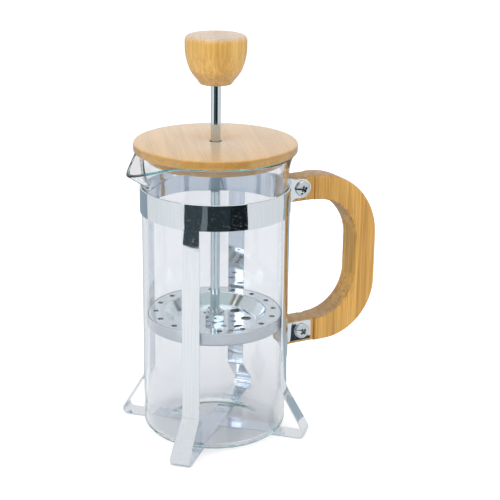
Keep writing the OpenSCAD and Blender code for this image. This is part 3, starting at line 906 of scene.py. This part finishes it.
def rolled_waviness():
    """Slow waves and faint rolling lines of thin sheet steel, as height."""
    tree, given, result = group(
        "rolled_waviness",
        [("Vector", "Vector", None), ("Waves", "Float", 1.0), ("Lines", "Float", 0.2)],
        [("Height", "Float"), ("Tone", "Float")],
    )
    vector = given["Vector"]
    wave = stretched_noise(tree, vector, (75.0, 75.0, 52.0), 1.0, 0.4)
    line = stretched_noise(tree, vector, (2600.0, 2600.0, 40.0), 2.0, 0.6)
    broad = times(tree, wave, given["Waves"])
    height = maths(tree, "ADD", broad, times(tree, line, given["Lines"]))
    plug(tree, result, {"Height": height, "Tone": line})
    return tree


def wire_weave():
    """Plain weave of fine wire wrapped round the Z axis."""
    tree, given, result = group(
        "wire_weave",
        [("Vector", "Vector", None), ("Wires", "Float", 1500.0), ("Radius", "Float", 0.0337)],
        [("Height", "Float"), ("Gap Shade", "Float")],
    )
    apart = node(tree, "ShaderNodeSeparateXYZ", {0: given["Vector"]})
    bearing = maths(tree, "ARCTAN2", apart.outputs["Y"], apart.outputs["X"])
    along = times(tree, bearing, given["Radius"])
    waves = []
    for value in (along, apart.outputs["Z"]):
        phase = times(tree, times(tree, value, given["Wires"]), pi)
        waves.append(maths(tree, "ABSOLUTE", maths(tree, "SINE", phase)))
    height = maths(tree, "MAXIMUM", waves[0], waves[1])
    plug(tree, result, {"Height": height, "Gap Shade": ramp(tree, height, 0.55, 0.25)})
    return tree


def new_finish(name):
    """A material with an empty Principled BSDF and its Object coordinates."""
    finish = bpy.data.materials.new(name)
    finish.use_nodes = True
    tree = finish.node_tree
    shader = tree.nodes["Principled BSDF"]
    vector = tree.nodes.new("ShaderNodeTexCoord").outputs["Object"]
    return finish, tree, shader, vector


def use(tree, shared, values):
    """Places a shared effect in a material with its own values."""
    return node(tree, "ShaderNodeGroup", values, node_tree=shared)


def worn(tree, vector, rough, smudge, scratch):
    values = {"Vector": vector, "Base Roughness": rough, "Smudge": smudge, "Scratch": scratch}
    return use(tree, MARKS, values)


def bump(tree, height, strength, distance):
    values = {"Height": height, "Strength": strength, "Distance": distance}
    return node(tree, "ShaderNodeBump", values).outputs[0]


def bamboo(name, turn, tones, strip, fleck, rough, coat):
    """Lacquered bamboo, its fibres along Z of the turned coordinates, with painted sheen tinting
    its level faces and a tint on upright faces that paints shade on the lid.
    """
    pale, deep, ends, side = tones
    finish, tree, shader, vector = new_finish(name)
    aimed = node(tree, "ShaderNodeMapping", {"Vector": vector, "Rotation": turn}).outputs[0]
    values = {"Vector": aimed, "Pale": pale, "Deep": deep, "Strip Width": strip, "Fleck": fleck}
    wood = use(tree, GRAIN, values)
    wear = worn(tree, vector, rough, 0.08, 0.25)
    facing = node(tree, "ShaderNodeNewGeometry").outputs["Normal"]
    facing = node(tree, "ShaderNodeSeparateXYZ", {0: facing}).outputs["Z"]
    # painted sheen and shade: faces that look up take the level tint (paler, bluer), upright faces
    # the upright tint (darker on the lid)
    level = ramp(tree, maths(tree, "ABSOLUTE", facing), 0.30, 0.92)
    tinted = mix_colour(tree, 1.0, wood.outputs["Color"], side, "MULTIPLY")
    painted_top_sheen = mix_colour(tree, 1.0, wood.outputs["Color"], ends, "MULTIPLY")
    look = {"Base Color": mix_colour(tree, level, tinted, painted_top_sheen)}
    look["Roughness"] = wear.outputs["Roughness"]
    look["Normal"] = bump(tree, wood.outputs["Height"], 0.30, 0.00006)
    look.update({"Specular IOR Level": 0.45, "Coat Weight": coat, "Coat Roughness": 0.04})
    plug(tree, shader, look)
    return finish


def steel(name, colour, rough, wave, lines, smudge=0.06, scratch=0.5):
    """Bright sheet or bar steel; its colour, roughness, waves and rolling lines."""
    finish, tree, shader, vector = new_finish(name)
    wear = worn(tree, vector, rough, smudge, scratch)
    rolled = use(tree, WAVES, {"Vector": vector, "Waves": wave, "Lines": lines})
    share = ramp(tree, rolled.outputs["Tone"], 0.35, 0.75)
    deeper = tuple(c * 0.90 for c in colour)
    height = maths(tree, "MULTIPLY_ADD", wear.outputs["Height"], 0.01, rolled.outputs["Height"])
    look = {"Base Color": mix_colour(tree, share, (*colour, 1), (*deeper, 1)), "Metallic": 1.0}
    look["Roughness"] = wear.outputs["Roughness"]
    look["Normal"] = bump(tree, height, 1.0, 0.0006)
    plug(tree, shader, look)
    return finish


def wire_cloth():
    """Dull wire cloth, with painted shade in the openings of its weave."""
    finish, tree, shader, vector = new_finish("wire_cloth_steel")
    cloth = use(tree, WEAVE, {"Vector": vector, "Wires": 1900.0, "Radius": 0.0337})
    wear = worn(tree, vector, 0.34, 0.15, 0.0)
    # painted shade: the openings between the wires are coloured dark
    colour = mix_colour(tree, cloth.outputs["Gap Shade"], (0.68, 0.72, 0.76, 1), (0.20, 0.22, 0.24, 1))
    look = {"Base Color": colour, "Roughness": wear.outputs["Roughness"], "Metallic": 1.0}
    look["Normal"] = bump(tree, cloth.outputs["Height"], 0.7, 0.00018)
    plug(tree, shader, look)
    return finish


def clear_glass():
    """Clear glass, faintly teal through its thickness."""
    finish, tree, shader, vector = new_finish("clear_glass")
    wear = worn(tree, vector, 0.0, 0.010, 0.0)
    faint = stretched_noise(tree, vector, (30.0, 30.0, 30.0), 1.0)
    drawn = stretched_noise(tree, vector, (60.0, 60.0, 16.0), 1.0)
    tint = mix_colour(tree, faint, (0.895, 0.905, 0.932, 1), (0.905, 0.914, 0.938, 1))
    look = {"Base Color": tint, "Roughness": wear.outputs["Roughness"]}
    look["Normal"] = bump(tree, drawn, 0.2, 0.0002)
    look.update({"IOR": 1.47, "Transmission Weight": 1.0})
    plug(tree, shader, look)
    values = {"Color": (0.45, 0.86, 0.88, 1), "Density": 9.0}
    depth = node(tree, "ShaderNodeVolumeAbsorption", values).outputs[0]
    plug(tree, tree.nodes["Material Output"], {"Volume": depth})
    return finish


# ---------------- finishes

GRAIN = bamboo_grain()
MARKS = handling_marks()
WAVES = rolled_waviness()
WEAVE = wire_weave()

# pale and deep wood, then a painted sheen tint that multiplies it on level faces and a tint for
# upright ones, painted shade on the lid
HANDLE_TONES = (
    (0.86, 0.50, 0.125, 1), (0.38, 0.17, 0.024, 1),
    (0.64, 0.72, 1.32, 1), (1, 1, 1, 1),
)
LID_TONES = (
    (0.70, 0.43, 0.145, 1), (0.46, 0.26, 0.070, 1),
    (0.98, 0.96, 0.98, 1), (0.80, 0.73, 0.56, 1),
)
KNOB_TONES = (
    (0.84, 0.52, 0.145, 1), (0.48, 0.25, 0.045, 1),
    (0.80, 1.00, 2.7, 1), (1, 1, 1, 1),
)
STAND = steel("polished_stand_steel", (0.65, 0.70, 0.74), 0.03, 0.80, 0.0003, 0.04)
STRAP = steel("bright_strap_steel", (0.75, 0.79, 0.83), 0.02, 0.26, 0.0003, 0.03, 0.4)
CHROME = steel("plated_screw_steel", (0.56, 0.61, 0.64), 0.06, 0.02, 0.0, 0.08, 0.8)
ROD = steel("bright_rod_steel", (0.58, 0.66, 0.69), 0.05, 0.01, 0.002, 0.05, 0.4)
PLATE = steel("pressed_filter_steel", (0.68, 0.74, 0.77), 0.09, 0.08, 0.002)
SPRING = steel("spring_wire_steel", (0.70, 0.73, 0.75), 0.18, 0.01, 0.0)
BRASS = steel("insert_brass", (0.72, 0.56, 0.28), 0.25, 0.02, 0.004)
CLOTH = wire_cloth()
GLASS = clear_glass()
HANDLE_BAMBOO = bamboo("handle_bamboo", (0, 0, 0), HANDLE_TONES, 0.0062, 0.85, 0.42, 0.06)
LID_TURN = (radians(90), radians(-20), 0)
LID_BAMBOO = bamboo("lid_bamboo", LID_TURN, LID_TONES, 0.011, 0.05, 0.24, 0.75)
KNOB_TURN = (0, 0, radians(25))
KNOB_BAMBOO = bamboo("knob_bamboo", KNOB_TURN, KNOB_TONES, 0.0068, 0.60, 0.34, 0.25)


# ---------------- putting the pieces together

def fit(piece, body, finish, cad_node):
    """Gives a piece its finish and hands it to the frame in place of its CAD node."""
    if finish is not None:
        piece.data.materials.clear()
        piece.data.materials.append(finish)
    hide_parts(cad_node)
    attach(piece, body)


holes = hole_ring_tree()
coil = coil_tree()
recess = screw_tree()
rear = Matrix.Rotation(radians(-90), 4, "X")
band = make_top_band()
under = make_leg_strap("leg_strap_under", radians(-45), 13.0, 24.0, 10.0, False)
over = make_leg_strap("leg_strap_over", radians(45), 17.0, 18.5, 1.8, True)
near_bracket = make_lower_bracket("lower_bracket_near", 1)
far_bracket = make_lower_bracket("lower_bracket_far", -1)

fit(band, "stand", STAND, "top_band")
fit(under, "stand", STRAP, "leg_strap_a")
fit(over, "stand", STRAP, "leg_strap_b")
fit(near_bracket, "stand", STAND, "lower_bracket_front")
fit(far_bracket, "stand", STAND, "lower_bracket_rear")
fit(make_handle(), "stand", HANDLE_BAMBOO, "handle")
for label, at, turn in (("upper", UPPER_SCREW, 22), ("lower", LOWER_SCREW, 40)):
    screw = make_screw(label + "_screw_pan_head", at, CHROME, recess, radians(turn))
    fit(screw, "stand", None, label + "_screw")
    seat = Matrix.Translation((at[0], EAR_FACE, at[1])) @ rear
    nut = make_nut(label + "_nut_hexagon", 7.0, 3.2, 2.0, seat)
    fit(nut, "stand", CHROME, label + "_nut")

beaker = make_beaker()
beaker.visible_shadow = False
fit(beaker, "beaker", GLASS, "glass_beaker")
fit(make_lid(), "lid", LID_BAMBOO, "lid")

fit(make_knob(), "plunger", KNOB_BAMBOO, "knob")
fit(make_insert(), "plunger", BRASS, "knob_insert")
fit(make_rod(), "plunger", ROD, "plunger_rod")
seat = Matrix.Translation((0, 0, plate_low.z + PLATE_T))
nut = make_nut("hub_nut_hexagon", 9.0, 4.0, ROD_R, seat, lip=1.0)
fit(nut, "plunger", CHROME, "hub_nut")
fit(make_filter_plate(PLATE, holes), "plunger", None, "filter_plate")
fit(make_edge_spring(SPRING, coil), "plunger", None, "edge_spring")
fit(make_filter_mesh(), "plunger", CLOTH, "filter_mesh")
fit(make_bottom_plate(PLATE, holes), "plunger", None, "bottom_plate")
nut_h = 3.2
seat = Matrix.Translation((0, 0, bottom_low.z - nut_h))
nut = make_nut("end_nut_capped", 8.0, nut_h, ROD_R, seat, capped=True)
fit(nut, "plunger", CHROME, "end_nut")


# ---------------- floor, lights and camera

def plain_floor():
    """Floor that looks paper white to the camera and a little dimmer in reflections."""
    mesh = bpy.data.meshes.new("floor")
    mesh.from_pydata([(-6, -6, 0), (6, -6, 0), (6, 6, 0), (-6, 6, 0)], [], [(0, 1, 2, 3)])
    floor = placed("floor", mesh)
    finish, tree, shader, _ = new_finish("white_floor")
    ray = node(tree, "ShaderNodeLightPath")
    through = times(tree, ray.outputs["Is Transmission Ray"], 0.04)
    glow = maths(tree, "MULTIPLY_ADD", ray.outputs["Is Camera Ray"], 0.36, through)
    look = {"Base Color": (0.88, 0.88, 0.88, 1), "Roughness": 0.7, "Specular IOR Level": 0.1}
    look.update({"Emission Color": (1, 1, 1, 1), "Emission Strength": glow})
    plug(tree, shader, look)
    mesh.materials.append(finish)


def white_room():
    """White surroundings, brightest where the camera sees them."""
    world = bpy.data.worlds.new("white_room")
    bpy.context.scene.world = world
    world.use_nodes = True
    tree = world.node_tree
    ray = node(tree, "ShaderNodeLightPath")
    seen = maths(tree, "MULTIPLY_ADD", ray.outputs["Is Camera Ray"], 0.60, 0.66)
    seen = maths(tree, "MULTIPLY_ADD", ray.outputs["Is Glossy Ray"], 0.26, seen)
    plug(tree, tree.nodes["Background"], {"Color": (1, 1, 1, 1), "Strength": seen})


def soft_light(name, place, aim, size, power):
    """A rectangular softbox; sizes in metres, power in watts."""
    lamp = bpy.data.lights.new(name, "AREA")
    lamp.shape = "RECTANGLE"
    lamp.size, lamp.size_y = size
    lamp.energy = power
    light = placed(name, lamp)
    place, aim = Vector(place), Vector(aim)
    facing = (aim - place).to_track_quat("-Z", "Y").to_matrix().to_4x4()
    light.matrix_world = Matrix.Translation(place) @ facing
    return light


def shade_card(name, points, level):
    """A flat card that only reflections see, of an even colour."""
    mesh = bpy.data.meshes.new(name)
    mesh.from_pydata(points, [], [tuple(range(len(points)))])
    card = placed(name, mesh)
    finish = bpy.data.materials.new(name)
    finish.use_nodes = True
    tree = finish.node_tree
    tree.nodes.remove(tree.nodes["Principled BSDF"])
    glow = node(tree, "ShaderNodeEmission", {"Color": level, "Strength": 1.0}).outputs[0]
    plug(tree, tree.nodes["Material Output"], {"Surface": glow})
    mesh.materials.append(finish)
    card.visible_camera = False
    card.visible_diffuse = False
    card.visible_shadow = False
    card.visible_transmission = False


CAMERA_SIDE = 26.6
CARD_FAR, CARD_Z, CARD_STEPS = 1.6, 0.0006, 10


def ring_card(name, first, last, near, level):
    """A card on the floor from one bearing to another off the camera's side, in degrees."""
    shares = [k / CARD_STEPS for k in range(CARD_STEPS + 1)]
    side = radians(-90 - CAMERA_SIDE)
    bearings = [side + radians(first + (last - first) * share) for share in shares]
    rim = [(near, t) for t in bearings] + [(CARD_FAR, t) for t in reversed(bearings)]
    shade_card(name, [(r * cos(t), r * sin(t), CARD_Z) for r, t in rim], level)


plain_floor()
white_room()
soft_light("ceiling_softbox", (0.1, 0.1, 1.5), (0, 0, 0), (1.6, 1.6), 9.6)
for side_light in (
    soft_light("left_softbox", (-1.2, -0.3, 0.7), (0, 0, 0.08), (0.7, 1.0), 5.4),
    soft_light("right_softbox", (0.5, -1.3, 0.8), (0, 0, 0.08), (0.7, 1.0), 4.2),
):
    side_light.visible_glossy = False
ring_card("dark_edge_left", -46, -18, 0.359, (0.050, 0.068, 0.078, 1))
ring_card("dark_edge_middle", -18, -10.7, 0.359, (0.19, 0.22, 0.24, 1))
ring_card("dark_edge_right", -10.7, 20, 0.345, (0.028, 0.040, 0.046, 1))
ring_card("dark_edge_far_right", 20, 48, 0.345, (0.012, 0.017, 0.020, 1))
patch = ((0.06, -0.13), (0.0995, -0.13), (0.1025, -0.08), (0.06, -0.08))
shade_card("dark_patch_right", [(x, y, 0.001) for x, y in patch], (0.03, 0.045, 0.055, 1))
ring_card("dim_back_left", -178, -122, 0.055, (0.36, 0.43, 0.49, 1))
ring_card("dim_back_right", 122, 178, 0.055, (0.42, 0.50, 0.55, 1))
# a pale glowing disc under the lid, seen only in reflections: a painted reflection, no part of the
# press
disc_r, disc_z = 0.030, (lid_low.z - 1.0) * MM
disc = [TAU * k / 48 for k in range(48)]
disc = [(disc_r * cos(t), disc_r * sin(t), disc_z) for t in disc]
shade_card("pale_disc_under_lid", disc, (0.66, 0.75, 0.75, 1))

camera_data = bpy.data.cameras.new("camera")
camera_data.sensor_width = 36.0
camera_data.lens = 95.24
camera_data.clip_start, camera_data.clip_end = 0.01, 50.0
camera = placed("camera", camera_data)
heading, pitch, roll = radians(CAMERA_SIDE) + 0.02775, 0.32110, 0.0130
camera.matrix_world = (
    Matrix.Translation((-0.27670, -0.55254, 0.29901))
    @ Matrix.Rotation(-heading, 4, "Z")
    @ Matrix.Rotation(pi / 2 - pitch, 4, "X")
    @ Matrix.Rotation(roll, 4, "Z")
)
scene = bpy.context.scene
scene.camera = camera
scene.view_settings.view_transform = "Standard"
scene.cycles.max_bounces = 128
scene.cycles.glossy_bounces = scene.cycles.transmission_bounces = 96
